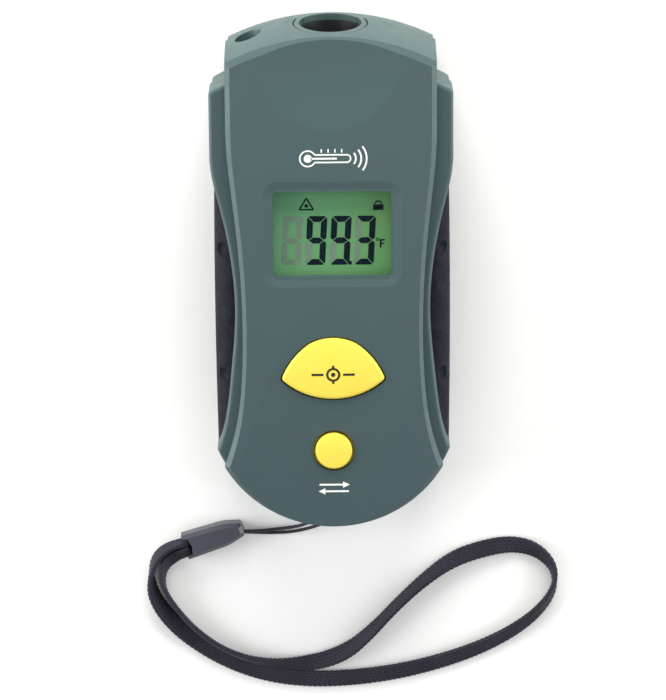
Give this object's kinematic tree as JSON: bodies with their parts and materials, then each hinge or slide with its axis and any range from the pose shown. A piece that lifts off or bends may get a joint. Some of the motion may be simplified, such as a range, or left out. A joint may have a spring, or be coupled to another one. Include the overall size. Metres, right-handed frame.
{
  "type": "infrared thermometer",
  "caption": "Pocket infrared thermometer with a waisted grey-green case, rubber side grips, lit display, yellow measure and mode buttons, battery door and wrist strap.",
  "frame": {"origin": "on the flat back, at the middle of the case's footprint, with the case lying on its back", "axes": "+X to the right of the display, +Y towards the lens end, +Z out of the display face"},
  "size_m": [0.0958, 0.1607, 0.0277],
  "materials": {
    "case_plastic": "fine moulded texture, grey-green",
    "grip_rubber": "soft matt black overmould",
    "clear_window": "clear acrylic pane",
    "display_glass": "lit liquid-crystal panel",
    "light_guide": "milky light guide",
    "black_plastic": "black moulding",
    "zebra_rubber": "layered elastomer connector",
    "circuit_board": "green solder mask",
    "component_ceramic": "small ceramic parts",
    "ir_lens": "milky infrared lens",
    "sensor_can": "nickel can",
    "brass": "turned brass",
    "laser_glass": "dark red window",
    "battery_jacket": "printed jacket over a steel can",
    "plated_steel": "nickel plated",
    "button_yellow": "satin yellow moulding",
    "plunger_plastic": "acetal",
    "strap_cord": "thin braided string",
    "strap_moulding": "dark moulded connector",
    "strap_braid": "flat woven braid"
  },
  "bodies": {
    "housing": {"front_shell": "case_plastic", "rear_shell": "case_plastic", "aperture_ring": "case_plastic", "grip_left": "grip_rubber", "grip_right": "grip_rubber", "lcd_window": "clear_window", "lcd_panel": "display_glass", "lcd_backlight": "light_guide", "lcd_frame": "black_plastic", "zebra_strips": "zebra_rubber", "main_pcb": "circuit_board", "controller_chip": "black_plastic", "board_components": "component_ceramic", "measure_switch": "black_plastic", "mode_switch": "black_plastic", "lens_hood": "black_plastic", "sensor_holder": "black_plastic", "ir_lens": "ir_lens", "ir_sensor": "sensor_can", "laser_module": "brass", "laser_window": "laser_glass", "battery_cell_1": "battery_jacket", "battery_cell_2": "battery_jacket", "contact_plates": "plated_steel", "battery_spring_1": "plated_steel", "battery_spring_2": "plated_steel", "case_screws": "plated_steel", "strap_string": "strap_cord", "strap_connector": "strap_moulding", "strap_band": "strap_braid"},
    "measure": {"measure_button": "button_yellow", "measure_plunger": "plunger_plastic"},
    "mode": {"mode_button": "button_yellow", "mode_plunger": "plunger_plastic"},
    "door": {"battery_door": "case_plastic"}
  },
  "joints": [
    {"name": "measure_press", "type": "slide", "parent": "housing", "child": "measure", "axis": [0, 0, -1], "range_m": [0, 0.0006], "stiffness_N_per_m": 2500, "springref_m": -0.0003},
    {"name": "mode_press", "type": "slide", "parent": "housing", "child": "mode", "axis": [0, 0, -1], "range_m": [0, 0.0006], "stiffness_N_per_m": 2500, "springref_m": -0.0003},
    {"name": "battery_door_hinge", "type": "hinge", "parent": "housing", "child": "door", "pos_m": [0, 0.0059, 0.0009], "axis": [1, 0, 0], "range_deg": [0, 85]}
  ]
}
